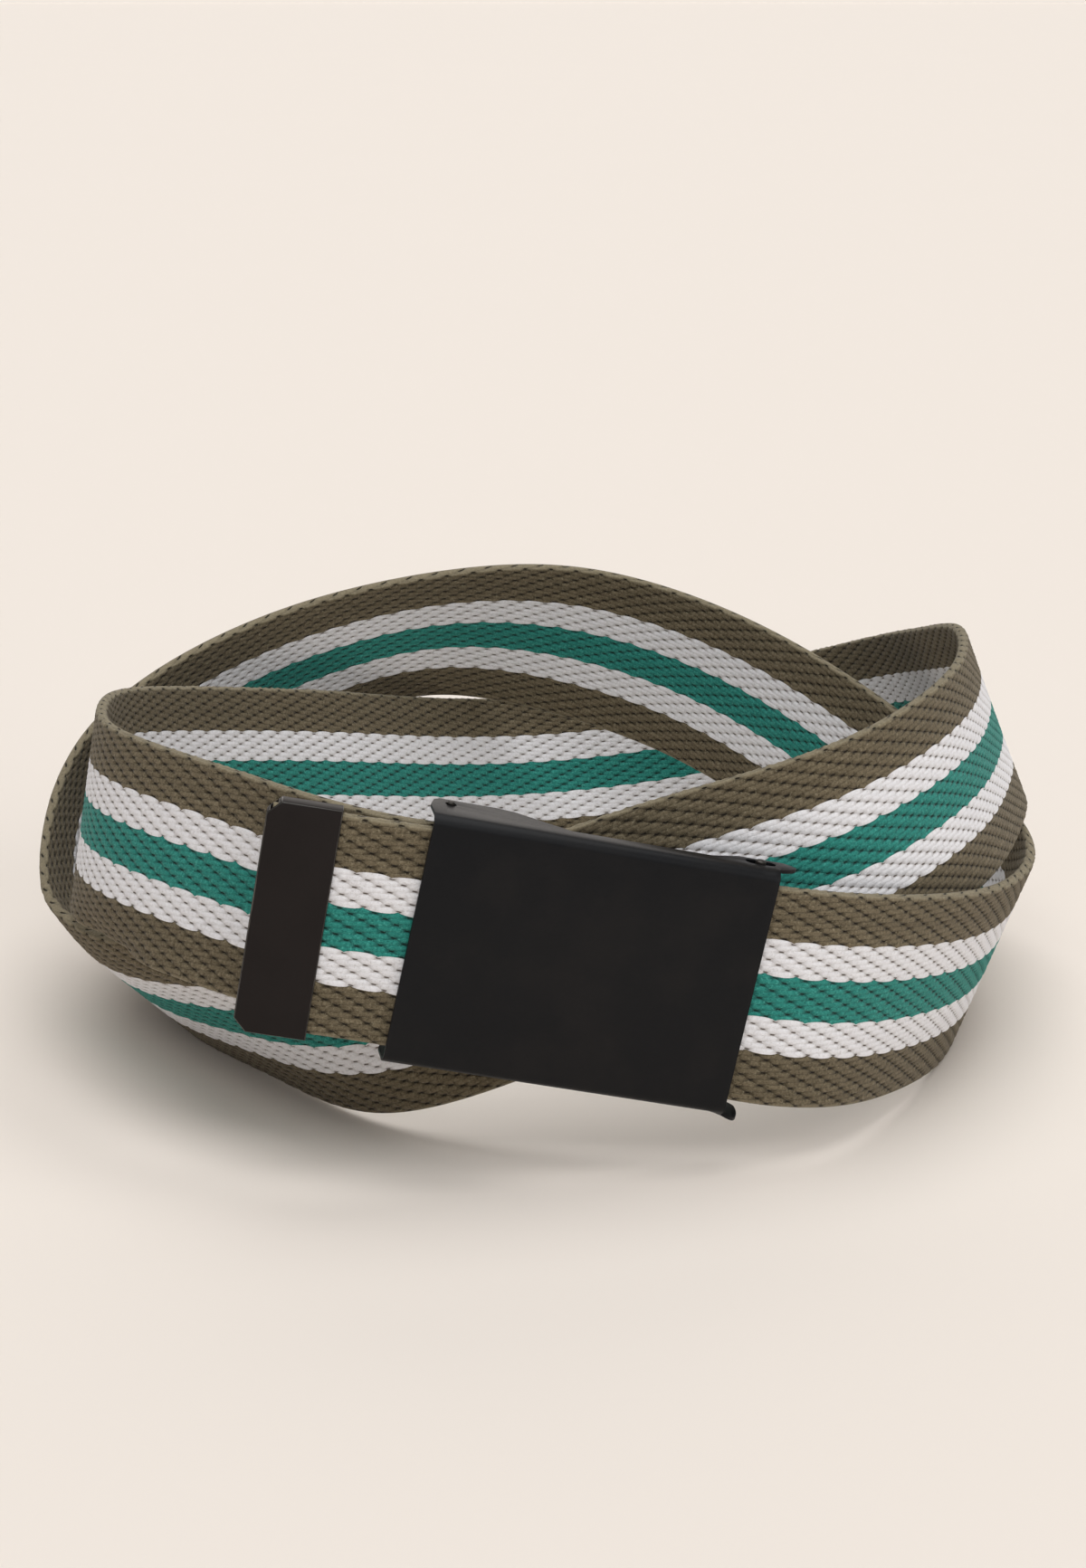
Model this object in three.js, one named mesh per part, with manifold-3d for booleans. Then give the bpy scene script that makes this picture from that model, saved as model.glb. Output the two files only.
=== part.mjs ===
// Canvas web belt, buckled, standing on its edge in two turns.
// Millimetres and degrees. X runs along the buckle, Y away from its face, Z up.

import * as THREE from 'three';
import { mergeVertices } from 'three/addons/utils/BufferGeometryUtils.js';
import Module from 'manifold-3d';

const wasm = await Module();
wasm.setup();

// Strap
const strapWidth = 38;
const strapThickness = 2.2;
const strapEdgeChamfer = 0.5;
const strapStep = 6;
const tangentReach = 0.5;

// Coil
const coilHalfWidth = 90;
const coilHalfDepth = 100;

// Place of the buckle's middle and how it hangs
const buckleRight = 6.7;
const buckleStandOff = 8.7;
const buckleLift = 38.4;
const buckleTurn = 9;
const buckleRoll = 12.5;

// Buckle case
const plateLength = 59;
const plateThickness = 0.6;
const plateSideGap = 2.05;
const plateLengthBow = 0.4;
const plateCrown = 0.3;
const rollRadius = 1.8;
const wallThickness = 0.6;
const clearance = 0.3;
const bridgeThickness = 0.7;
const bridgeLength = 9;
const bridgeInset = 6;
const middleWallDepth = 5.2;
const earReach = 3.4;
const holeMargin = 0.6;
const leftWallSpare = 1.5;

// Clamp with its pin
const pinRadius = 0.7;
const pinInset = 3.6;
const pinHead = 0.5;
const barEndChamfer = 0.25;
const hubWall = 0.65;
const clampLength = 9;
const strapEndMargin = 1.5;
const clampThickness = 1.2;
const toothHeight = 0.8;
const toothRadius = 0.8;
const toothPitch = 3;

// Slide bar
const slideRadius = 1.6;
const slideEndRadius = 0.9;
const slideInset = 2.6;
const slideTravel = 3;

// Free end
const tailLength = 25;
const tailDrop = 1;
const tailRecess = 2.5;
const tipLength = 12.2;
const tipMetal = 0.5;
const tipChamfer = 2.2;
const tipRim = 0.9;
const tipBevel = 0.35;

const blackMetal = new THREE.MeshStandardMaterial({ color: 0x222021, roughness: 0.55, metalness: 0.3 });
const darkSteel = new THREE.MeshStandardMaterial({ color: 0x3b3936, roughness: 0.4, metalness: 0.8 });
const canvas = new THREE.MeshStandardMaterial({ color: 0x6f6852, roughness: 0.95, metalness: 0 });

// Layers inside the buckle, measured back from the crown of the face plate
const plateBack = -(plateThickness + plateLengthBow + plateCrown);
const frontLayer = plateBack - clearance - strapThickness / 2;
const bridgeFront = frontLayer - strapThickness / 2 - clearance;
const backLayer = bridgeFront - bridgeThickness - clearance - strapThickness / 2;
const clampedFace = backLayer - strapThickness / 2 - clearance;
const hubRadius = pinRadius + clearance + hubWall;
const pinDepth = clampedFace - hubRadius;
const slideDepth = frontLayer - strapThickness / 2 - clearance - slideRadius;

// Outline of the case
const caseHalfWidth = strapWidth / 2 + plateSideGap + wallThickness;
const innerHalfWidth = caseHalfWidth - wallThickness;
const halfLength = plateLength / 2;
const pinPlace = pinInset - halfLength;
const slidePlace = halfLength - slideInset;
const leftWallDepth = pinRadius + holeMargin + leftWallSpare - pinDepth;
const rightWallDepth = slideRadius + holeMargin - slideDepth;

// The coil, a row for each section from the clamped end round to the free end: shares of
// the coil's half width and half depth, the height of the middle as a share of the strap's
// width, and how far the top edge leans in
const coilSections = [
  { right: -0.61, back: -0.93, lift: 1.3, lean: 9 },
  { right: -0.88, back: -0.64, lift: 1.31, lean: 10 },
  { right: -0.94, back: -0.38, lift: 1.25, lean: 9 },
  { right: -0.93, back: -0.07, lift: 1.13, lean: 6 },
  { right: -0.76, back: 0.24, lift: 0.94, lean: -2 },
  { right: -0.5, back: 0.52, lift: 0.74, lean: -11 },
  { right: -0.19, back: 0.81, lift: 0.52, lean: -20 },
  { right: 0.25, back: 1, lift: 0.47, lean: -23 },
  { right: 0.64, back: 0.94, lift: 0.69, lean: -8 },
  { right: 0.86, back: 0.7, lift: 0.97, lean: 7 },
  { right: 0.95, back: 0.36, lift: 1.23, lean: 17 },
  { right: 0.99, back: 0.07, lift: 1.42, lean: 22 },
  { right: 0.95, back: -0.22, lift: 1.47, lean: 18 },
  { right: 0.825, back: -0.57, lift: 1.46, lean: 14 },
  { right: 0.58, back: -0.82, lift: 1.33, lean: 11 },
  { right: 0.09, back: -0.9, lift: 1, lean: 6 },
  { right: -0.36, back: -0.86, lift: 0.55, lean: -18 },
  { right: -0.65, back: -0.65, lift: 0.4, lean: -40 },
  { right: -0.86, back: -0.41, lift: 0.35, lean: -46 },
  { right: -0.98, back: -0.12, lift: 0.5, lean: -32 },
  { right: -1, back: 0.18, lift: 0.77, lean: -8 },
  { right: -0.84, back: 0.45, lift: 1.09, lean: 15 },
  { right: -0.55, back: 0.67, lift: 1.33, lean: 28 },
  { right: -0.23, back: 0.79, lift: 1.44, lean: 32 },
  { right: 0.11, back: 0.81, lift: 1.35, lean: 14 },
  { right: 0.39, back: 0.7, lift: 1.18, lean: 2 },
  { right: 0.64, back: 0.49, lift: 0.94, lean: -8 },
  { right: 0.85, back: 0.22, lift: 0.67, lean: -14 },
  { right: 0.97, back: -0.1, lift: 0.47, lean: -22 },
  { right: 0.92, back: -0.42, lift: 0.47, lean: -20 },
  { right: 0.73, back: -0.78, lift: 0.62, lean: -12 },
];

// Depth of the case's side walls along the plate
const wallSections = [
  { along: -1, depth: 0.62 * leftWallDepth },
  { along: -0.97, depth: 0.9 * leftWallDepth },
  { along: -0.93, depth: leftWallDepth },
  { along: -0.6, depth: leftWallDepth },
  { along: -0.5, depth: 0.94 * leftWallDepth },
  { along: -0.2, depth: middleWallDepth },
  { along: 0.62, depth: middleWallDepth },
  { along: 0.8, depth: rightWallDepth },
  { along: 1, depth: rightWallDepth },
];

const group = new THREE.Group();
const buckle = new THREE.Group();
buckle.position.set(buckleRight, -coilHalfDepth - buckleStandOff, buckleLift);
const radians = THREE.MathUtils.degToRad;
buckle.rotation.set(Math.PI / 2, radians(buckleRoll), radians(buckleTurn), 'ZYX');
buckle.updateMatrixWorld(true);
group.add(buckle);

function addPiece(parent, name, geometry, material) {
  const mesh = new THREE.Mesh(geometry, material);
  mesh.name = name;
  parent.add(mesh);
  return mesh;
}

// A closed body through rings of points that all have the same count
function loft(rings, capOutline) {
  const count = rings[0].length;
  const positions = rings.flat().flatMap((point) => [point.x, point.y, point.z]);
  const faces = [];
  for (let ring = 0; ring + 1 < rings.length; ring += 1) {
    for (let i = 0; i < count; i += 1) {
      const a = ring * count + i;
      const b = ring * count + ((i + 1) % count);
      faces.push(a, b, b + count, a, b + count, a + count);
    }
  }
  const last = (rings.length - 1) * count;
  for (const [a, b, c] of THREE.ShapeUtils.triangulateShape(capOutline, [])) {
    faces.push(c, b, a, last + a, last + b, last + c);
  }
  const geometry = new THREE.BufferGeometry();
  geometry.setAttribute('position', new THREE.Float32BufferAttribute(positions, 3));
  geometry.setIndex(faces);
  return geometry;
}

// Joining and cutting
function toSolid(geometry) {
  const clean = geometry.clone();
  for (const name of Object.keys(clean.attributes)) {
    if (name !== 'position') clean.deleteAttribute(name);
  }
  const merged = mergeVertices(clean, 1e-5);
  return new wasm.Manifold(new wasm.Mesh({
    numProp: 3,
    vertProperties: new Float32Array(merged.attributes.position.array),
    triVerts: new Uint32Array(merged.index.array),
  }));
}

function toGeometry(solid) {
  const mesh = solid.getMesh();
  const geometry = new THREE.BufferGeometry();
  geometry.setAttribute('position', new THREE.BufferAttribute(new Float32Array(mesh.vertProperties), 3));
  geometry.setIndex(new THREE.BufferAttribute(new Uint32Array(mesh.triVerts), 1));
  return geometry;
}

// A profile drawn along and out of the buckle, drawn out across it
function extrudeAcross(profile, length) {
  const options = { depth: length, bevelEnabled: false, curveSegments: 10 };
  const geometry = new THREE.ExtrudeGeometry(profile, options);
  return geometry.rotateX(Math.PI / 2).translate(0, length / 2, 0);
}

function box(xFrom, xTo, yFrom, yTo, zFrom, zTo) {
  const geometry = new THREE.BoxGeometry(xTo - xFrom, yTo - yFrom, zTo - zFrom);
  return geometry.translate((xFrom + xTo) / 2, (yFrom + yTo) / 2, (zFrom + zTo) / 2);
}

// A smooth curve through values at rising knots, by a natural cubic spline
function smoothThrough(knots, values) {
  const n = knots.length;
  const slopeChange = new Array(n).fill(0);
  const upper = new Array(n).fill(0);
  for (let i = 1; i + 1 < n; i += 1) {
    const before = knots[i] - knots[i - 1];
    const after = knots[i + 1] - knots[i];
    const bend = 6 * ((values[i + 1] - values[i]) / after - (values[i] - values[i - 1]) / before);
    const pivot = 2 * (before + after) - before * upper[i - 1];
    upper[i] = after / pivot;
    slopeChange[i] = (bend - before * slopeChange[i - 1]) / pivot;
  }
  for (let i = n - 2; i > 0; i -= 1) slopeChange[i] -= upper[i] * slopeChange[i + 1];
  return (t) => {
    let i = 0;
    while (i + 2 < n && t > knots[i + 1]) i += 1;
    const width = knots[i + 1] - knots[i];
    const b = (t - knots[i]) / width;
    const a = 1 - b;
    const curve = (a * a * a - a) * slopeChange[i] + (b * b * b - b) * slopeChange[i + 1];
    return a * values[i] + b * values[i + 1] + (curve * width * width) / 6;
  };
}

// The strap's frame where it runs along a direction with a lean
function strapFrame(direction, lean) {
  const along = direction.clone().normalize();
  const level = new THREE.Vector3(0, 0, 1).addScaledVector(along, -along.z).normalize();
  const inward = new THREE.Vector3().crossVectors(along, level);
  const across = level.clone().multiplyScalar(Math.cos(lean)).addScaledVector(inward, Math.sin(lean));
  const normal = new THREE.Vector3().crossVectors(along, across);
  return { across, normal, level, inward };
}

// A section of the strap inside the buckle, given in the buckle's own axes
function sectionInBuckle(along, up, depth) {
  const point = buckle.localToWorld(new THREE.Vector3(along, up, depth));
  const direction = new THREE.Vector3(-1, 0, 0).transformDirection(buckle.matrixWorld);
  const upward = new THREE.Vector3(0, 1, 0).transformDirection(buckle.matrixWorld);
  const { level, inward } = strapFrame(direction, 0);
  return { point, lean: Math.atan2(upward.dot(inward), upward.dot(level)) };
}

function sectionInCoil({ right, back, lift, lean }) {
  const point = new THREE.Vector3(right * coilHalfWidth, back * coilHalfDepth, lift * strapWidth);
  return { point, lean: radians(lean) };
}

function sectionInTail(share) {
  const depth = frontLayer - share * tailRecess;
  return sectionInBuckle(-halfLength - share * tailLength, -share * tailDrop, depth);
}

const clampedEnd = pinPlace + clampLength + strapEndMargin;
const strapSections = [
  sectionInBuckle(clampedEnd, 0, backLayer),
  sectionInBuckle(pinPlace + hubRadius, 0, backLayer),
  sectionInBuckle(-halfLength, 0, backLayer),
  ...coilSections.map(sectionInCoil),
  sectionInBuckle(halfLength + earReach, 0, frontLayer),
  sectionInBuckle(halfLength * 0.8, 0, frontLayer),
  sectionInBuckle(0, 0, frontLayer),
  sectionInBuckle(-halfLength * 0.8, 0, frontLayer),
  sectionInTail(0),
  sectionInTail(0.5),
  sectionInTail(1),
];

function makeStrap() {
  const knots = [0];
  for (let i = 1; i < strapSections.length; i += 1) {
    knots.push(knots[i - 1] + strapSections[i].point.distanceTo(strapSections[i - 1].point));
  }
  const curve = (read) => smoothThrough(knots, strapSections.map(read));
  const x = curve((section) => section.point.x);
  const y = curve((section) => section.point.y);
  const z = curve((section) => section.point.z);
  const lean = curve((section) => section.lean);
  const total = knots[knots.length - 1];
  const count = Math.ceil(total / strapStep);
  const halfWidth = strapWidth / 2;
  const halfThickness = strapThickness / 2;
  const outline = [
    [-halfWidth + strapEdgeChamfer, -halfThickness],
    [halfWidth - strapEdgeChamfer, -halfThickness],
    [halfWidth, -halfThickness + strapEdgeChamfer],
    [halfWidth, halfThickness - strapEdgeChamfer],
    [halfWidth - strapEdgeChamfer, halfThickness],
    [-halfWidth + strapEdgeChamfer, halfThickness],
    [-halfWidth, halfThickness - strapEdgeChamfer],
    [-halfWidth, -halfThickness + strapEdgeChamfer],
  ];
  const rings = [];
  for (let i = 0; i <= count; i += 1) {
    const t = (i / count) * total;
    const middle = new THREE.Vector3(x(t), y(t), z(t));
    const ahead = Math.min(t + tangentReach, total);
    const behind = Math.max(t - tangentReach, 0);
    const direction = new THREE.Vector3(x(ahead) - x(behind), y(ahead) - y(behind), z(ahead) - z(behind));
    const { across, normal } = strapFrame(direction, lean(t));
    rings.push(outline.map(([side, out]) => {
      const point = middle.clone().addScaledVector(across, side).addScaledVector(normal, out);
      point.z = Math.max(point.z, 0);
      return point;
    }));
  }
  return loft(rings, outline.map(([side, out]) => new THREE.Vector2(side, out)));
}

// The case: a shallow channel with rolled long edges, its side walls deep at the clamp,
// low in the middle and rounded at the ears
function caseOutline(depth, sink) {
  const outer = [];
  const inner = [];
  const corner = 3;
  const innerRoll = rollRadius - wallThickness;
  const front = (across) => -sink - plateCrown * (across / caseHalfWidth) ** 2;
  const rollCentre = caseHalfWidth - rollRadius;
  const edgeFront = front(rollCentre);
  outer.push([-caseHalfWidth, -depth]);
  inner.push([-innerHalfWidth, -depth]);
  for (let i = 0; i <= corner; i += 1) {
    const turn = (i / corner) * (Math.PI / 2);
    for (const [side, radius] of [[outer, rollRadius], [inner, innerRoll]]) {
      const out = edgeFront - rollRadius + radius * Math.sin(turn);
      side.push([-rollCentre - radius * Math.cos(turn), out]);
    }
  }
  for (const share of [-0.5, 0]) {
    outer.push([share * rollCentre, front(share * rollCentre)]);
    inner.push([share * rollCentre, front(share * rollCentre) - plateThickness]);
  }
  const mirrored = (points) => points.slice(0, -1).reverse().map(([across, out]) => [-across, out]);
  const wholeOuter = [...outer, ...mirrored(outer)];
  const wholeInner = [...inner, ...mirrored(inner)];
  return [...wholeInner, ...wholeOuter.reverse()];
}

function makeCase() {
  const rings = wallSections.map(({ along, depth }) => {
    const sink = plateLengthBow * along * along;
    const place = along * halfLength;
    return caseOutline(depth, sink).map(([across, out]) => new THREE.Vector3(place, across, out));
  });
  const outline = rings[0].map((point) => new THREE.Vector2(point.y, point.z));
  let solid = toSolid(loft(rings, outline));
  const wallOverlap = wallThickness / 5;
  for (const side of [-1, 1]) {
    const ear = new THREE.Shape();
    const earTop = -rollRadius - plateLengthBow - plateCrown;
    const earRound = (rightWallDepth + earTop) / 2;
    const earCentre = halfLength + earReach - earRound;
    ear.moveTo(slidePlace - slideTravel, earTop);
    ear.lineTo(earCentre, earTop);
    ear.absarc(earCentre, earTop - earRound, earRound, Math.PI / 2, -Math.PI / 2, true);
    ear.lineTo(slidePlace - slideTravel, -rightWallDepth);
    const wall = extrudeAcross(ear, wallThickness);
    solid = solid.add(toSolid(wall.translate(0, side * (caseHalfWidth - wallThickness / 2), 0)));
  }
  const bridge = box(
    bridgeInset - halfLength, bridgeInset + bridgeLength - halfLength,
    -innerHalfWidth - wallOverlap, innerHalfWidth + wallOverlap,
    bridgeFront - bridgeThickness, bridgeFront,
  );
  solid = solid.add(toSolid(bridge));
  const holeLength = 3 * caseHalfWidth;
  const holeRadius = pinRadius + clearance;
  const pinHole = new THREE.CylinderGeometry(holeRadius, holeRadius, holeLength, 12);
  solid = solid.subtract(toSolid(pinHole.translate(pinPlace, 0, pinDepth)));
  const slotRadius = slideEndRadius + clearance;
  for (const end of [-1, 1]) {
    const slotEnd = new THREE.CylinderGeometry(slotRadius, slotRadius, holeLength, 12);
    slotEnd.translate(slidePlace + end * slideTravel / 2, 0, slideDepth);
    solid = solid.subtract(toSolid(slotEnd));
  }
  const slot = box(
    slidePlace - slideTravel / 2, slidePlace + slideTravel / 2,
    -holeLength / 2, holeLength / 2, slideDepth - slotRadius, slideDepth + slotRadius,
  );
  return toGeometry(solid.subtract(toSolid(slot)));
}

function makeClamp() {
  const profile = new THREE.Shape();
  const front = clampedFace - toothHeight;
  const back = front - clampThickness;
  profile.absarc(pinPlace, pinDepth, hubRadius, Math.PI / 3, (5 * Math.PI) / 3, false);
  profile.lineTo(pinPlace + clampLength - clampThickness / 2, back);
  profile.lineTo(pinPlace + clampLength, back + clampThickness / 2);
  profile.lineTo(pinPlace + clampLength, front);
  const bore = new THREE.Path();
  bore.absarc(pinPlace, pinDepth, pinRadius + clearance, 0, 2 * Math.PI, true);
  profile.holes.push(bore);
  const length = 2 * (innerHalfWidth - clearance);
  let solid = toSolid(extrudeAcross(profile, length));
  const count = Math.floor((strapWidth - 2 * toothRadius) / toothPitch);
  for (let i = 0; i <= count; i += 1) {
    const tooth = new THREE.ConeGeometry(toothRadius, toothHeight + clearance, 4);
    tooth.rotateX(Math.PI / 2);
    const place = (i - count / 2) * toothPitch;
    const middle = front + toothHeight - (toothHeight + clearance) / 2;
    solid = solid.add(toSolid(tooth.translate(pinPlace + clampLength - 2 * toothRadius, place, middle)));
  }
  return toGeometry(solid);
}

// A round bar across the buckle, from a list of radius and place pairs along its half
function turnedBar(halfProfile) {
  const points = [...halfProfile, ...halfProfile.map(([radius, place]) => [radius, -place]).reverse()];
  return new THREE.LatheGeometry(points.map(([radius, place]) => new THREE.Vector2(radius, place)), 16);
}

function makePin() {
  const reach = caseHalfWidth + pinHead;
  const endRadius = pinRadius - barEndChamfer;
  const pin = turnedBar([[0, -reach], [endRadius, -reach], [pinRadius, barEndChamfer - reach]]);
  return pin.translate(pinPlace, 0, pinDepth);
}

function makeSlideBar() {
  const shoulder = innerHalfWidth - clearance;
  const reach = caseHalfWidth + pinHead;
  const bar = turnedBar([
    [0, -reach],
    [slideEndRadius - barEndChamfer, -reach],
    [slideEndRadius, barEndChamfer - reach],
    [slideEndRadius, -shoulder],
    [slideRadius, -shoulder],
  ]);
  return bar.translate(slidePlace, 0, slideDepth);
}

// The strap's own frame at its free end
function tailFrame() {
  const [before, end] = strapSections.slice(-2);
  const direction = end.point.clone().sub(before.point);
  const { across, normal } = strapFrame(direction, end.lean);
  return new THREE.Matrix4().makeBasis(direction.normalize(), across, normal).setPosition(end.point);
}

function makeTip() {
  const halfHeight = strapWidth / 2 + tipRim;
  const halfGap = strapThickness / 2 + clearance;
  const halfOuter = halfGap + tipMetal;
  const nose = clearance + tipMetal;
  const outline = new THREE.Shape();
  outline.moveTo(nose - tipLength, -halfHeight);
  outline.lineTo(nose - tipChamfer, -halfHeight);
  outline.lineTo(nose, tipChamfer - halfHeight);
  outline.lineTo(nose, halfHeight - tipChamfer);
  outline.lineTo(nose - tipChamfer, halfHeight);
  outline.lineTo(nose - tipLength, halfHeight);
  const body = new THREE.ExtrudeGeometry(outline, {
    depth: 2 * (halfOuter - tipBevel), bevelEnabled: true, bevelSize: tipBevel, bevelThickness: tipBevel,
    bevelOffset: -tipBevel, bevelSegments: 2,
  });
  body.translate(0, 0, tipBevel - halfOuter);
  const pocketHalf = strapWidth / 2 + clearance;
  const pocket = box(-tipLength, clearance, -pocketHalf, pocketHalf, -halfGap, halfGap);
  return toGeometry(toSolid(body).subtract(toSolid(pocket))).applyMatrix4(tailFrame());
}

addPiece(group, 'strap', makeStrap(), canvas);
addPiece(buckle, 'buckle_case', makeCase(), blackMetal);
addPiece(buckle, 'clamp_bar', makeClamp(), darkSteel);
addPiece(buckle, 'clamp_pin', makePin(), darkSteel);
addPiece(buckle, 'slide_bar', makeSlideBar(), darkSteel);
addPiece(group, 'strap_tip', makeTip(), blackMetal);

const whole = new THREE.Box3().setFromObject(group, true);
const { x: middleX, y: middleY } = whole.getCenter(new THREE.Vector3());
group.position.set(-middleX, -middleY, -whole.min.z);

export default group;
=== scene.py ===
from math import atan2, pi, radians

import bpy
import numpy as np
from mathutils import Euler, Matrix, Vector


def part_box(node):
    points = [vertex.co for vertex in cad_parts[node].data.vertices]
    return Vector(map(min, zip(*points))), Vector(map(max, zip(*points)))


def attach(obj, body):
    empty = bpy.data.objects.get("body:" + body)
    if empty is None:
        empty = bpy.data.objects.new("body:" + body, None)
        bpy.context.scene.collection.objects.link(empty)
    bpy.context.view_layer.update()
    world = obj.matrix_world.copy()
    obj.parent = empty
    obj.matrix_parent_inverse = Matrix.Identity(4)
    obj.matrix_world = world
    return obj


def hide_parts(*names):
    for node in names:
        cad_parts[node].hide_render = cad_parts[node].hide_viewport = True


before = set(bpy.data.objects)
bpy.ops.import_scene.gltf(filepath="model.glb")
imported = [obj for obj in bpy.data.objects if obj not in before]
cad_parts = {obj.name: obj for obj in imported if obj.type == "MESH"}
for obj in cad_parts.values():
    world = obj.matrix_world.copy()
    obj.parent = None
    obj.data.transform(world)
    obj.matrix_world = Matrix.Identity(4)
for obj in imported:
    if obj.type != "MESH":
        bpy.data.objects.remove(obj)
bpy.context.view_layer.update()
mm = 0.001
rng = np.random.default_rng(7)


def pickOnly(thing):
    bpy.ops.object.select_all(action="DESELECT")
    thing.select_set(True)
    bpy.context.view_layer.objects.active = thing


def wear(thing, material):
    thing.data.materials.clear()
    thing.data.materials.append(material)


class Signal:
    # a shader socket that can be used in sums
    def __init__(self, finish, socket):
        self.finish = finish
        self.socket = socket

    def __add__(self, other): return self.finish.maths("ADD", self, other)
    def __radd__(self, other): return self.finish.maths("ADD", other, self)
    def __sub__(self, other): return self.finish.maths("SUBTRACT", self, other)
    def __rsub__(self, other): return self.finish.maths("SUBTRACT", other, self)
    def __mul__(self, other): return self.finish.maths("MULTIPLY", self, other)
    def __rmul__(self, other): return self.finish.maths("MULTIPLY", other, self)
    def __truediv__(self, other): return self.finish.maths("DIVIDE", self, other)
    def __pow__(self, other): return self.finish.maths("POWER", self, other)


class Finish:
    # a material with a Principled shader at its end
    def __init__(self, name, **constants):
        self.material = bpy.data.materials.new(name)
        self.material.use_nodes = True
        self.tree = self.material.node_tree
        self.tree.nodes.clear()
        self.output = self.tree.nodes.new("ShaderNodeOutputMaterial")
        self.shader = self.tree.nodes.new("ShaderNodeBsdfPrincipled")
        self.tree.links.new(self.shader.outputs[0], self.output.inputs[0])
        for socket, value in constants.items():
            self.shader.inputs[socket.replace("_", " ")].default_value = value

    def node(self, kind, settings=None, sockets=None, out=0):
        # settings come first, then the values or links of the sockets
        made = self.tree.nodes.new("ShaderNode" + kind)
        for key, value in (settings or {}).items():
            if key == "stops":
                ramp = made.color_ramp
                ramp.interpolation = "CONSTANT"
                while len(ramp.elements) < len(value):
                    ramp.elements.new(0.5)
                for element, (place, colour) in zip(ramp.elements, value):
                    element.position = place
                    element.color = (*colour, 1)
            else:
                setattr(made, key, value)
        for key, value in (sockets or {}).items():
            if isinstance(value, Signal):
                self.tree.links.new(value.socket, made.inputs[key])
            else:
                made.inputs[key].default_value = value
        return Signal(self, made.outputs[out])

    def maths(self, operation, *values):
        return self.node("Math", {"operation": operation}, dict(enumerate(values)))

    def smooth(self, value, low, high, start=0, end=1):
        # a soft step from start to end as the value goes from low to high
        return self.node("MapRange", {"interpolation_type": "SMOOTHSTEP"},
                         {"Value": value, "From Min": low, "From Max": high, "To Min": start, "To Max": end})

    def blend(self, share, first, second):
        # from the first colour to the second
        colours = [(*c, 1) if isinstance(c, tuple) else c for c in (first, second)]
        return self.node("Mix", {"data_type": "RGBA"}, {0: share, 6: colours[0], 7: colours[1]}, out=2)

    def noise(self, place, scale, detail=3, rough=0.55):
        return self.node("TexNoise", {}, {"Vector": place, "Scale": scale, "Detail": detail, "Roughness": rough})

    def give(self, **sockets):
        for name, value in sockets.items():
            self.tree.links.new(value.socket, self.shader.inputs[name.replace("_", " ")])

    def bump(self, height, strength, distance):
        normal = self.node("Bump", {}, {"Height": height, "Strength": strength, "Distance": distance})
        self.give(Normal=normal)


def srgb(code):
    # a colour read off as 0xRRGGBB
    parts = [(code >> shift & 255) / 255 for shift in (16, 8, 0)]
    return tuple(c / 12.92 if c <= 0.04045 else ((c + 0.055) / 1.055) ** 2.4 for c in parts)


# the strap's course, from the same sections as the source, in mm and degrees
strap = {
    "width": 38, "thickness": 2.2, "coilHalfWidth": 90, "coilHalfDepth": 100,
    "buckleRight": 6.7, "buckleStandOff": 8.7, "buckleLift": 38.4, "buckleTurn": 9, "buckleRoll": 12.5,
    "plateLength": 59, "plateStack": 1.3, "clearance": 0.3, "bridgeThickness": 0.7, "earReach": 3.4,
    "pinInset": 3.6, "hubRadius": 1.65, "clampLength": 9, "endMargin": 1.5,
    "tailLength": 25, "tailDrop": 1, "tailRecess": 2.5, "tangentReach": 0.5,
    "layerShare": 0.8, "edgeChamfer": 0.5, "rings": 205,   # of half the plate, mm, rings of the solid
}
coilSections = [
    # right and back as shares of the coil, lift as a share of the width, lean in degrees
    (-0.61, -0.93, 1.3, 9), (-0.88, -0.64, 1.31, 10), (-0.94, -0.38, 1.25, 9), (-0.93, -0.07, 1.13, 6),
    (-0.76, 0.24, 0.94, -2), (-0.5, 0.52, 0.74, -11), (-0.19, 0.81, 0.52, -20), (0.25, 1, 0.47, -23),
    (0.64, 0.94, 0.69, -8), (0.86, 0.7, 0.97, 7), (0.95, 0.36, 1.23, 17), (0.99, 0.07, 1.42, 22),
    (0.95, -0.22, 1.47, 18), (0.825, -0.57, 1.46, 14), (0.58, -0.82, 1.33, 11), (0.09, -0.9, 1, 6),
    (-0.36, -0.86, 0.55, -18), (-0.65, -0.65, 0.4, -40), (-0.86, -0.41, 0.35, -46), (-0.98, -0.12, 0.5, -32),
    (-1, 0.18, 0.77, -8), (-0.84, 0.45, 1.09, 15), (-0.55, 0.67, 1.33, 28), (-0.23, 0.79, 1.44, 32),
    (0.11, 0.81, 1.35, 14), (0.39, 0.7, 1.18, 2), (0.64, 0.49, 0.94, -8), (0.85, 0.22, 0.67, -14),
    (0.97, -0.1, 0.47, -22), (0.92, -0.42, 0.47, -20), (0.73, -0.78, 0.62, -12),
]

bucklePose = Matrix.Translation((strap["buckleRight"], -strap["coilHalfDepth"] - strap["buckleStandOff"],
                                 strap["buckleLift"]))
buckleTilt = Euler((pi / 2, radians(strap["buckleRoll"]), radians(strap["buckleTurn"])))
bucklePose = bucklePose @ buckleTilt.to_matrix().to_4x4()


def strapFrames(directions, leans):
    # the strap's axis across, the way inwards, and both before the lean
    along = directions / np.linalg.norm(directions, axis=1)[:, None]
    level = np.array([0, 0, 1]) - along * along[:, 2:]
    level /= np.linalg.norm(level, axis=1)[:, None]
    inward = np.cross(along, level)
    across = level * np.cos(leans)[:, None] + inward * np.sin(leans)[:, None]
    return across, np.cross(along, across), level, inward


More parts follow.
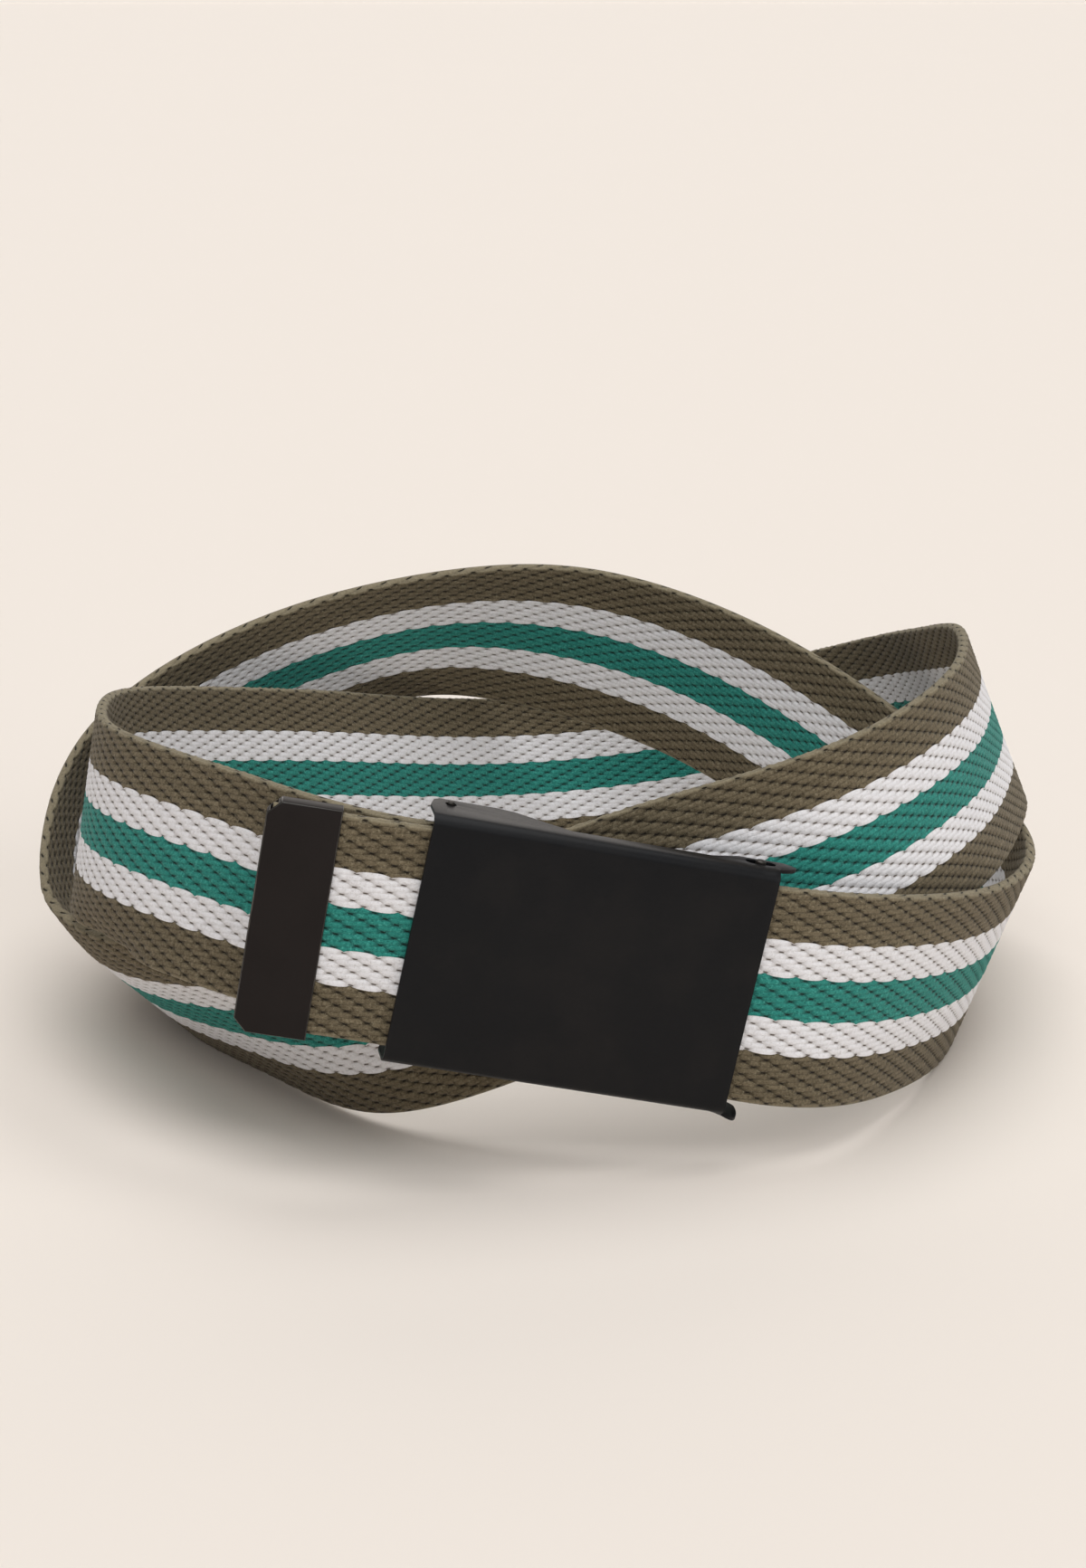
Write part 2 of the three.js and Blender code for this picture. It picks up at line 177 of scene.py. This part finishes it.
def inBuckle(along, up, depth):
    # a row of the course from a place in the buckle
    point = bucklePose @ Vector((along, up, depth))
    turn = np.array(bucklePose.to_3x3())
    _, _, level, inward = strapFrames(-turn[:, 0][None], np.zeros(1))
    return (*point, atan2(turn[:, 1] @ inward[0], turn[:, 1] @ level[0]))


def strapCourse():
    s = strap
    half = s["plateLength"] / 2
    frontLayer = -s["plateStack"] - s["clearance"] - s["thickness"] / 2
    backLayer = frontLayer - s["thickness"] - 2 * s["clearance"] - s["bridgeThickness"]
    pinPlace = s["pinInset"] - half
    rows = [inBuckle(x, 0, backLayer)
            for x in (pinPlace + s["clampLength"] + s["endMargin"], pinPlace + s["hubRadius"], -half)]
    rows += [(right * s["coilHalfWidth"], back * s["coilHalfDepth"], lift * s["width"], radians(lean))
             for right, back, lift, lean in coilSections]
    rows += [inBuckle(x, 0, frontLayer)
             for x in (half + s["earReach"], half * s["layerShare"], 0, -half * s["layerShare"])]
    rows += [inBuckle(-half - share * s["tailLength"], -share * s["tailDrop"], frontLayer - share * s["tailRecess"])
             for share in (0, 0.5, 1)]
    return np.array(rows)


def smoothThrough(knots, values, t):
    # a natural cubic spline through the rows
    n = len(knots)
    gaps = np.diff(knots)
    system = np.eye(n)
    bends = np.zeros((n, values.shape[1]))
    for i in range(1, n - 1):
        system[i, i - 1:i + 2] = gaps[i - 1], 2 * (gaps[i - 1] + gaps[i]), gaps[i]
        bends[i] = 6 * ((values[i + 1] - values[i]) / gaps[i] - (values[i] - values[i - 1]) / gaps[i - 1])
    curve = np.linalg.solve(system, bends)
    i = np.clip(np.searchsorted(knots, t) - 1, 0, n - 2)
    b = ((t - knots[i]) / gaps[i])[:, None]
    a = 1 - b
    bend = (a ** 3 - a) * curve[i] + (b ** 3 - b) * curve[i + 1]
    return a * values[i] + b * values[i + 1] + bend * (gaps[i] ** 2)[:, None] / 6


course = strapCourse()
courseKnots = np.concatenate([[0], np.cumsum(np.linalg.norm(np.diff(course[:, :3], axis=0), axis=1))])
strapLength = courseKnots[-1]


def stationsAt(t):
    # middle of the strap, its axis across and the way inwards, at lengths t along it
    place = smoothThrough(courseKnots, course, t)
    reach = strap["tangentReach"]
    ahead = smoothThrough(courseKnots, course, np.minimum(t + reach, strapLength))
    behind = smoothThrough(courseKnots, course, np.maximum(t - reach, 0))
    across, inward, _, _ = strapFrames(ahead[:, :3] - behind[:, :3], place[:, 3])
    return place[:, :3], across, inward


def frameShift():
    # from the sections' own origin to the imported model's, found from the strap's box
    middle, across, inward = stationsAt(np.linspace(0, strapLength, strap["rings"]))
    wide, thick, chamfer = strap["width"] / 2, strap["thickness"] / 2, strap["edgeChamfer"]
    corners = [middle + across * side * wide + inward * out * (thick - chamfer)
               for side in (-1, 1) for out in (-1, 1)]
    corners += [middle + across * side * (wide - chamfer) + inward * out * thick
                for side in (-1, 1) for out in (-1, 1)]
    points = np.concatenate(corners)
    low, high = (np.array(corner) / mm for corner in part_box("strap"))
    shift = ((low + high) - (points.min(0) + points.max(0))) / 2
    shift[2] = 0
    print("strap", round(strapLength), "mm long, frame shift", shift.round(2))
    return shift


shift = frameShift()
print("course worked out")


# the webbing: warp floats in diagonal ribs, modelled yarn by yarn
weave = {
    "yarns": 50, "repeat": 5.7, "samples": 9, "lengths": 5,   # across, mm along, rings in a repeat, pieces
    "crest": 1.1, "dip": 0.76, "groove": 0.88, "grooveRise": 0.15,   # heights from the middle, mm
    "dipFrom": 0.15, "dipTo": 1.3,                      # mm from the middle of a dip
    "step": 3, "faceShift": 0.5,                        # yarns until the ribs repeat, shift on the back
    "sway": 0.2, "scallop": 0.45, "humpMiddle": 1.25,   # shares of a yarn that borders sway
    "jitter": 0.028,                                    # mm
    "edgeDrop": 0.1, "edgeInset": 0.07, "edgeHeight": 0.74,   # the outermost yarns, mm
    "edgeLoop": 0.18, "edgeBulge": 0.1,                 # weft loops along the edges, mm
    "edgeLoops": 3, "edgeLoopShift": 0.25, "edgeLoopSpread": 0.3,   # in a repeat, turns, share
}
stripes = [
    # first yarn of each stripe and its look
    (0, "olive"), (12, "white"), (20, "green"), (30, "white"), (38, "olive"),
]
scallops = {
    # border where a white stripe bulges: the white yarn beside it, its way out
    12: (12, -1), 20: (19, 1), 30: (30, -1), 38: (37, 1),
}


def floatAt(t, yarn, face):
    # 0 where the yarn dips under the weft, 1 along its float
    phase = t / weave["repeat"] - yarn / weave["step"] + weave["faceShift"] * face
    away = np.abs((phase + 0.5) % 1 - 0.5) * weave["repeat"]
    share = np.clip((away - weave["dipFrom"]) / (weave["dipTo"] - weave["dipFrom"]), 0, 1)
    return share * share * (3 - 2 * share)


def webbingColumn(t, y, face):
    # place across and height of one lengthwise line of the weave, y in yarns
    pitch = strap["width"] / weave["yarns"]
    yarn = int(y)
    if y != yarn:
        height = weave["dip"] + (weave["crest"] - weave["dip"]) * floatAt(t, yarn, face)
        height = height + weave["jitter"] * rng.standard_normal(len(t))
        if yarn in (0, weave["yarns"] - 1):
            height = height - weave["edgeDrop"]
        return np.full(len(t), y * pitch) - strap["width"] / 2, height
    if yarn in (0, weave["yarns"]):
        side = -1 if yarn == 0 else 1
        return side * (strap["width"] / 2 - weave["edgeInset"]) + 0 * t, np.full(len(t), weave["edgeHeight"])
    below, above = floatAt(t, yarn - 1, face), floatAt(t, yarn, face)
    height = weave["groove"] + weave["grooveRise"] * (below + above) / 2
    sway = weave["sway"] * (below - above)
    if yarn in scallops:
        white, side = scallops[yarn]
        phase = (t / weave["repeat"] - white / weave["step"] + weave["faceShift"] * face) % 1
        sway = side * weave["scallop"] * (2 * np.sqrt(1 - (2 * phase - 1) ** 2) - weave["humpMiddle"])
    return (yarn + sway) * pitch - strap["width"] / 2, height


def edgeLine(t, side):
    # the weft's loops along one edge
    turns = t / weave["repeat"] * weave["edgeLoops"] + weave["edgeLoopShift"] * side
    loops = 0.5 + 0.5 * np.cos(2 * pi * turns)
    loops = loops + weave["edgeLoopSpread"] * rng.standard_normal(len(t))
    return side * (strap["width"] / 2 + weave["edgeBulge"] + weave["edgeLoop"] * (loops - 0.5)), 0 * t


curls = [
    # edge that rolls inwards (1 upper, -1 lower), mm along, mm up, degrees
    {"edge": -1, "from": 60, "full": 76, "fade": 84, "to": 100, "reach": 9, "turn": 46},
    {"edge": 1, "from": 630, "full": 672, "fade": 690, "to": 712, "reach": 9, "turn": 29},
]


def curlIn(t, place, way, curl):
    # an edge rolls inwards where two turns meet at the left end of the coil
    rise = np.clip((t - curl["from"]) / (curl["full"] - curl["from"]), 0, 1)
    fall = np.clip((curl["to"] - t) / (curl["to"] - curl["fade"]), 0, 1)
    share = np.minimum(rise * rise * (3 - 2 * rise), fall * fall * (3 - 2 * fall))
    bend = radians(curl["turn"]) * share / curl["reach"]          # turn for each mm
    start = strap["width"] / 2 - curl["reach"]
    past = curl["edge"] * place - start
    rolled = (past > 0) & (bend > 1e-6)
    turn = np.where(rolled, bend * past, 0)
    radius = 1 / np.where(rolled, bend, 1)
    newPlace = np.where(rolled, curl["edge"] * (start + (radius - way) * np.sin(turn)), place)
    newWay = np.where(rolled, radius * (1 - np.cos(turn)) + way * np.cos(turn), way)
    return newPlace, newWay


def weaveGrid():
    # the whole strap as rings of points, with their place in the weave and the way outwards
    count = int(round(strapLength / weave["repeat"] * weave["samples"]))
    t = np.linspace(0, strapLength, count + 1)
    middle, across, inward = stationsAt(t)
    steps = np.arange(2 * weave["yarns"] + 1) / 2           # half a yarn at a time
    lines = []                                           # place across, way in, yarn coordinate, face
    for y in steps:
        place, height = webbingColumn(t, y, 0)
        lines.append((place, -height, y, 0))
    lines.append((*edgeLine(t, 1), weave["yarns"] + 0.5, 0.5))
    for y in steps[::-1]:
        place, height = webbingColumn(t, y, 1)
        lines.append((place, height, y, 1))
    lines.append((*edgeLine(t, -1), -0.5, 0.5))
    shaped = [(place, way) for place, way, _, _ in lines]
    for curl in curls:
        shaped = [curlIn(t, place, way, curl) for place, way in shaped]
    points = np.stack([middle + across * place[:, None] + inward * way[:, None]
                       for place, way in shaped], axis=1) + shift
    points[..., 2] = np.maximum(points[..., 2], 0)
    chart = np.stack([np.stack([t, np.full(len(t), y), np.full(len(t), face)], axis=1)
                      for _, _, y, face in lines], axis=1)
    outward = np.cross(np.roll(points, -1, 1) - np.roll(points, 1, 1), np.gradient(points, axis=0))
    outward /= np.linalg.norm(outward, axis=2)[..., None]
    return points, chart, outward


def signedVolume(mesh):
    # above zero where the faces point outwards
    mesh.calc_loop_triangles()
    points = np.zeros(len(mesh.vertices) * 3)
    mesh.vertices.foreach_get("co", points)
    corners = np.zeros(len(mesh.loop_triangles) * 3, np.int32)
    mesh.loop_triangles.foreach_get("vertices", corners)
    a, b, c = points.reshape(-1, 3)[corners.reshape(-1, 3)].transpose(1, 0, 2)
    return float((np.cross(a, b) * c).sum() / 6)


def weaveLength(name, points, chart, outward):
    # one stretch of the strap, closed at both ends
    rings, n = points.shape[:2]
    ring, column = np.meshgrid(np.arange(rings - 1), np.arange(n), indexing="ij")
    here, beside = ring * n + column, ring * n + (column + 1) % n
    quads = np.stack([here, beside, beside + n, here + n], axis=-1).reshape(-1, 4)
    caps = [list(range(n))[::-1], list(range((rings - 1) * n, rings * n))]
    mesh = bpy.data.meshes.new(name)
    mesh.from_pydata((points.reshape(-1, 3) * mm).tolist(), [], quads.tolist() + caps)
    mesh.attributes.new("weave", "FLOAT_VECTOR", "POINT").data.foreach_set("vector", chart.astype(np.float32).ravel())
    mesh.shade_smooth()
    mesh.normals_split_custom_set_from_vertices(outward.reshape(-1, 3).tolist())
    piece = bpy.data.objects.new(name, mesh)
    bpy.context.scene.collection.objects.link(piece)
    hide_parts("strap")
    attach(piece, "root")
    length = float(chart[-1, 0, 0] - chart[0, 0, 0])
    print(name, round(length), "mm,", len(mesh.polygons), "faces,", round(signedVolume(mesh) * 1e9), "mm3")
    return piece


yarnLooks = {
    "yarn": {"olive": srgb(0x6A5F4B), "white": srgb(0xE4E3E6), "green": srgb(0x268075)},
    "shade": {"olive": srgb(0x2F271A), "white": srgb(0xC2BEBD), "green": srgb(0x104944)},
    "weft": {"olive": srgb(0x1A150D), "white": srgb(0x5A4F45), "green": srgb(0x132722)},
    "light": {"olive": srgb(0x9A9078), "white": srgb(0xF4F4F6), "green": srgb(0x58B5A8)},
    # how strongly the grooves between yarns get painted shade
    "grooveShade": {"olive": (0.85,) * 3, "white": (0.12,) * 3, "green": (0.7,) * 3},
    "tint": {"olive": (0.24,) * 3, "white": (0.06,) * 3, "green": (0.2,) * 3},
}


clothMarks = {
    "roughness": 0.92, "sheen": 0.08, "sheenRoughness": 0.5, "gloss": 0.2,
    "wander": 0.03, "wanderScale": 160,                 # how far the dips stray, in repeats
    "dotAlong": 0.55, "dotAcross": 0.3, "dot": (0.35, 1.1), "dotDepth": 0.94,   # mm, yarns, soft rim
    "float": (0.3, 1.5), "grooveShadeMask": (0.28, 0.5),           # mm from a dip, yarns from a yarn's middle
    "plyLength": 0.85, "plySlant": 1.3,                 # mm, turns over a yarn
    "fibreScale": 2.2, "fibreStretch": (0.9, 4, 0.35),  # stretch along, spread across, slant
    "fibreLight": (0.4, 0.75, 0.4), "fibreShade": (0.52, 0.25, 0.35),   # from, to, share
    "fluffScale": 2000, "fluffLight": (0.54, 0.68, 0.55), "fluffShade": (0.46, 0.32, 0.6),
    # the last two keys below give the painted highlight along both edges
    "wornScale": 28, "rim": (1.1, 0.1), "edgeHighlight": (0.2, 0.6),   # yarns from the edge, least and fluff
}
clothRelief = {
    # mm, by what stands up or lies deep
    "crown": 0.06, "floated": 0.09, "ply": 0.012, "fibres": 0.06, "fluff": 0.03, "dot": 0.13,
    "strength": 0.9, "distance": 1,
}


def webbingFinish():
    marks, relief = clothMarks, clothRelief
    cloth = Finish("webbing", Roughness=marks["roughness"], Sheen_Weight=marks["sheen"],
                   Sheen_Roughness=marks["sheenRoughness"], Specular_IOR_Level=marks["gloss"])
    chart = cloth.node("Attribute", {"attribute_name": "weave"}, out=1)
    parts = cloth.node("SeparateXYZ", {}, {0: chart}).socket.node.outputs
    along, y, face = (Signal(cloth, parts[i]) for i in range(3))
    across = y / weave["yarns"]

    def byStripe(what):
        stops = [(first / weave["yarns"], yarnLooks[what][look]) for first, look in stripes]
        return cloth.node("ValToRGB", {"stops": stops}, {"Fac": across})

    def toned(colour, noise, tone, target):
        # towards the target colour where the noise passes the tone's range
        low, high, share = marks[tone]
        return cloth.blend(cloth.smooth(noise, low, high) * share, colour, target)

    place = cloth.node("TexCoord", out=3)
    wander = cloth.noise(place, marks["wanderScale"], 2) - 0.5
    yarn = cloth.maths("FLOOR", y)
    within = y - yarn - 0.5                                   # from -0.5 to 0.5 over a yarn
    ownTone = cloth.node("TexWhiteNoise", {"noise_dimensions": "1D"}, {"W": yarn})
    phase = along / weave["repeat"] - yarn / weave["step"] + weave["faceShift"] * face + marks["wander"] * wander
    away = cloth.maths("ABSOLUTE", cloth.maths("FRACT", phase + 0.5) - 0.5) * weave["repeat"]
    side = cloth.maths("ABSOLUTE", within)
    # the weft shows as a short dark dot where a yarn dips: partly the weft's own colour, partly painted shade in the
    # gap between floats
    dot = (away / marks["dotAlong"]) ** 2 + (side / marks["dotAcross"]) ** 2
    dot = cloth.smooth(dot, *marks["dot"], 1, 0)
    floated = cloth.smooth(away, *marks["float"])
    grooveShadeMask = cloth.smooth(side, *marks["grooveShadeMask"])
    # two plies twisted round each other, and loose fibres
    ply = cloth.maths("SINE", (along / marks["plyLength"] + within * marks["plySlant"] + ownTone) * 2 * pi)
    stretch, spread, slant = marks["fibreStretch"]
    fibrePlace = cloth.node("CombineXYZ", {}, {0: along * stretch, 1: y * spread + along * slant, 2: face})
    fibres = cloth.noise(fibrePlace, marks["fibreScale"], 4, 0.65)
    fluff = cloth.noise(place, marks["fluffScale"], 3, 0.75)
    worn = cloth.noise(place, marks["wornScale"], 3)
    shade, light = byStripe("shade"), byStripe("light")
    # painted shade: the yarn's colour goes to its shade colour towards each dip, where it sinks under the weft
    shaded = cloth.blend(floated, shade, byStripe("yarn"))
    # painted shade in the grooves between neighbouring yarns
    shaded = cloth.blend(grooveShadeMask * (1 - 0.5 * floated) * byStripe("grooveShade"), shaded, shade)
    shaded = toned(shaded, fibres, "fibreLight", light)
    shaded = toned(shaded, fibres, "fibreShade", shade)
    shaded = toned(shaded, fluff, "fluffLight", light)
    shaded = toned(shaded, fluff, "fluffShade", shade)
    shaded = cloth.blend((ownTone + worn - 0.5) * byStripe("tint"), shaded, shade)
    # painted highlight: both edges are lightened to stand for loose fibres that catch the light
    middle = weave["yarns"] / 2
    rim = cloth.smooth(cloth.maths("ABSOLUTE", y - middle), *(middle - inset for inset in marks["rim"]))
    least, more = marks["edgeHighlight"]
    shaded = cloth.blend(rim * (least + more * fluff), shaded, light)
    cloth.give(Base_Color=cloth.blend(dot * marks["dotDepth"], shaded, byStripe("weft")))
    height = (1 - (side * 2) ** 2) * relief["crown"] + floated * relief["floated"]
    height = height + ply * relief["ply"] * floated + fibres * relief["fibres"] + fluff * relief["fluff"]
    cloth.bump(height - dot * relief["dot"], relief["strength"], relief["distance"] * mm)
    return cloth.material


webbing = webbingFinish()
grid = weaveGrid()
joins = np.linspace(0, len(grid[0]) - 1, weave["lengths"] + 1).round().astype(int)
for number, (start, end) in enumerate(zip(joins[:-1], joins[1:]), 1):
    wear(weaveLength(f"webbing_{number}", *(part[start:end + 1] for part in grid)), webbing)
print("webbing woven")


paint = {
    "colour": srgb(0x0B0C0F), "tip": srgb(0x24201F), "dust": srgb(0x1D1A19), "roughness": 0.38,
    "gloss": 0.18, "tipGloss": 0.07, "cloudScale": 90, "grainScale": 2600, "dusty": (0.4, 0.75, 0.35),
    "cloudRoughness": 0.12, "grainRoughness": 0.1, "bump": 0.25, "grainDepth": 0.06,
}
rubbed = {
    "colour": srgb(0x34322F), "worn": srgb(0x5C5750), "roughness": 0.3, "metallic": 0.3, "gloss": 0.4,
    "patchScale": 420, "patches": (0.5, 0.7), "patchRoughness": 0.25,
}
steel = {
    "light": srgb(0x4A4744), "dark": srgb(0x2F2D2B), "roughness": 0.34,
    "cloudScale": 140, "clouds": (0.35, 0.7), "scratchScale": (400, 400, 6000),
    "cloudRoughness": 0.16, "scratchRoughness": 0.12, "bump": 0.2, "scratchDepth": 0.04,
}


def paintFinish(name, colour, gloss):
    metal = Finish(name, Metallic=0.0, Specular_IOR_Level=gloss)
    place = metal.node("TexCoord", out=3)
    cloud = metal.noise(place, paint["cloudScale"], 4)
    grain = metal.noise(place, paint["grainScale"], 2)
    low, high, share = paint["dusty"]
    metal.give(Base_Color=metal.blend(metal.smooth(cloud, low, high) * share, colour, paint["dust"]))
    metal.give(Roughness=paint["roughness"] + paint["cloudRoughness"] * (cloud - 0.5)
               + paint["grainRoughness"] * (grain - 0.5))
    metal.bump(grain, paint["bump"], paint["grainDepth"] * mm)
    return metal.material


def rubbedFinish():
    # the paint's edges, polished and a little worn through
    metal = Finish("black_metal_edges", Metallic=rubbed["metallic"], Specular_IOR_Level=rubbed["gloss"])
    place = metal.node("TexCoord", out=3)
    patches = metal.noise(place, rubbed["patchScale"], 4, 0.65)
    metal.give(Base_Color=metal.blend(metal.smooth(patches, *rubbed["patches"]), rubbed["colour"], rubbed["worn"]))
    metal.give(Roughness=rubbed["roughness"] + rubbed["patchRoughness"] * (patches - 0.5))
    return metal.material


def steelFinish():
    metal = Finish("dark_steel", Metallic=1.0)
    place = metal.node("TexCoord", out=3)
    cloud = metal.noise(place, steel["cloudScale"], 4)
    lines = metal.node("Mapping", {}, {"Vector": place, "Scale": steel["scratchScale"]})
    scratches = metal.noise(lines, 1, 3)
    metal.give(Base_Color=metal.blend(metal.smooth(cloud, *steel["clouds"]), steel["light"], steel["dark"]))
    metal.give(Roughness=steel["roughness"] + steel["cloudRoughness"] * cloud
               + steel["scratchRoughness"] * scratches)
    metal.bump(scratches, steel["bump"], steel["scratchDepth"] * mm)
    return metal.material


blackMetal = paintFinish("black_metal", paint["colour"], paint["gloss"])
tipMetal = paintFinish("black_metal_tip", paint["tip"], paint["tipGloss"])
rubbedMetal = rubbedFinish()
darkSteel = steelFinish()

metalParts = {
    # node: (piece name, width of the rounded edges in mm, finish)
    "buckle_case": ("buckle_case_dressed", 0.2, blackMetal),
    "strap_tip": ("strap_tip_dressed", 0.16, tipMetal),
}
rounding = {"merge": 0.01, "flat": 1.5, "segments": 3, "sharp": 38, "smooth": 35}   # mm and degrees
ears = {
    "from": 3.4, "cuts": 6, "behind": 1.9,              # mm from the plate's end, mm behind its face
    "front": 2.5, "back": 6.5, "backLoss": 0.8,         # mm deep where the splay starts to fade and ends
    "splay": {-1: 2.1, 1: 0.6},                         # mm outwards below and above
}


def splayEars(mesh):
    # the ears beside the strap's way in are bent outwards a little
    toBuckle = bucklePose.inverted()
    start = strap["plateLength"] / 2 - ears["from"]
    reach = ears["from"] + strap["earReach"]
    bpy.ops.object.mode_set(mode="EDIT")
    for step in range(ears["cuts"]):
        cut = (bucklePose @ Vector((start + reach * step / ears["cuts"], 0, 0)) + Vector(shift)) * mm
        bpy.ops.mesh.select_all(action="SELECT")
        bpy.ops.mesh.bisect(plane_co=cut, plane_no=bucklePose.to_3x3() @ Vector((1, 0, 0)))
    bpy.ops.object.mode_set(mode="OBJECT")
    for vertex in mesh.vertices:
        along, up, depth = toBuckle @ (vertex.co / mm - Vector(shift))
        if along > start and depth < -ears["behind"]:
            share = min(1, (along - start) / reach) ** 2
            towardsBack = min(1, (-depth - ears["front"]) / (ears["back"] - ears["front"]))
            side = 1 if up > 0 else -1
            up += side * ears["splay"][side] * share * (1 - ears["backLoss"] * towardsBack)
            vertex.co = (bucklePose @ Vector((along, up, depth)) + Vector(shift)) * mm


def roundedCopy(node, name, width, finish):
    # a merged copy of the solid with rounded edges
    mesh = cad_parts[node].data.copy()
    mesh.name = name
    piece = bpy.data.objects.new(name, mesh)
    bpy.context.scene.collection.objects.link(piece)
    pickOnly(piece)
    bpy.ops.object.mode_set(mode="EDIT")
    bpy.ops.mesh.select_all(action="SELECT")
    bpy.ops.mesh.remove_doubles(threshold=rounding["merge"] * mm)
    bpy.ops.mesh.dissolve_limited(angle_limit=radians(rounding["flat"]))
    bpy.ops.object.mode_set(mode="OBJECT")
    wear(piece, finish)
    piece.data.materials.append(rubbedMetal)
    if node == "buckle_case":
        splayEars(piece.data)
    edges = piece.modifiers.new("edges", "BEVEL")
    edges.width = width * mm
    edges.segments = rounding["segments"]
    edges.limit_method = "ANGLE"
    edges.angle_limit = radians(rounding["sharp"])
    edges.use_clamp_overlap = True
    edges.material = 1                                   # the rubbed finish
    bpy.ops.object.modifier_apply(modifier="edges")
    bpy.ops.object.shade_smooth_by_angle(angle=radians(rounding["smooth"]))
    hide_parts(node)
    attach(piece, "root")
    print(name, len(piece.data.polygons), "faces")


for node, (name, width, finish) in metalParts.items():
    roundedCopy(node, name, width, finish)
for node in ("clamp_bar", "clamp_pin", "slide_bar"):
    wear(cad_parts[node], darkSteel)
print("metal dressed")


studio = {
    "floor": srgb(0xECE3DA), "floorShade": 0.98, "floorPatches": 0.3, "patchScale": 3,
    "floorSize": 60, "wallRadius": 27, "wall": srgb(0xF2E9E0), "wallHeight": 1.6,   # m
    "world": (1, 1, 1), "worldStrength": 0.15,
}

bpy.ops.object.select_all(action="DESELECT")
bpy.ops.mesh.primitive_plane_add(size=studio["floorSize"])
floor = bpy.context.active_object
floor.name = "floor"
floorFinish = Finish("floor", Roughness=0.85, Specular_IOR_Level=0.15)
floorPlace = floorFinish.node("TexCoord", out=3)
floorPatches = floorFinish.noise(floorPlace, studio["patchScale"], 2) * studio["floorPatches"]
floorFinish.give(Base_Color=floorFinish.blend(floorPatches, studio["floor"],
                                              tuple(c * studio["floorShade"] for c in studio["floor"])))
wear(floor, floorFinish.material)

# a low far wall hides the line where the floor ends
bpy.ops.object.select_all(action="DESELECT")
bpy.ops.mesh.primitive_cylinder_add(vertices=96, radius=studio["wallRadius"], depth=studio["wallHeight"],
                                    end_fill_type="NOTHING", location=(0, 0, studio["wallHeight"] / 2))
wall = bpy.context.active_object
wall.name = "far_wall"
wallFinish = Finish("far_wall", Base_Color=(0, 0, 0, 1), Roughness=1, Specular_IOR_Level=0,
                    Emission_Color=(*studio["wall"], 1), Emission_Strength=1)
wear(wall, wallFinish.material)

world = bpy.data.worlds.new("studio")
bpy.context.scene.world = world
world.use_nodes = True
world.node_tree.nodes["Background"].inputs[0].default_value = (*studio["world"], 1)
world.node_tree.nodes["Background"].inputs[1].default_value = studio["worldStrength"]
bpy.context.scene.view_settings.view_transform = "Standard"

lamps = [
    # name, direction that it comes from, spread in degrees, strength, colour
    ("ceiling", (0, 0, 1), 60, 1.69, (1, 1, 1)),
    ("front", (0, -1, 0.9), 60, 1.01, (1, 1, 1)),
    ("window", (1, -0.4, 0.35), 50, 0.85, (1, 1, 1)),
    ("backdrop", (0, 1, 0.35), 60, 0.74, (1, 0.93, 0.87)),
]


def addLamp(name, comesFrom, spread, strength, colour):
    lamp = bpy.data.lights.new(name, "SUN")
    lamp.angle = radians(spread)
    lamp.energy = strength
    lamp.color = colour
    holder = bpy.data.objects.new(name, lamp)
    holder.rotation_euler = Vector(comesFrom).to_track_quat("Z", "Y").to_euler()
    bpy.context.scene.collection.objects.link(holder)


for lamp in lamps:
    addLamp(*lamp)

photo = {"height": 1733, "focal": 3302.4, "pitch": 15.07, "eye": (0, -576.7, 196.2)}   # px, degrees, mm
camera = bpy.data.cameras.new("camera")
camera.sensor_width = 36
camera.lens = photo["focal"] / photo["height"] * camera.sensor_width
eye = bpy.data.objects.new("camera", camera)
eye.location = (Vector(photo["eye"]) + Vector(shift)) * mm
eye.rotation_euler = (radians(90 - photo["pitch"]), 0, 0)
bpy.context.scene.collection.objects.link(eye)
bpy.context.scene.camera = eye
print("lights and camera set")
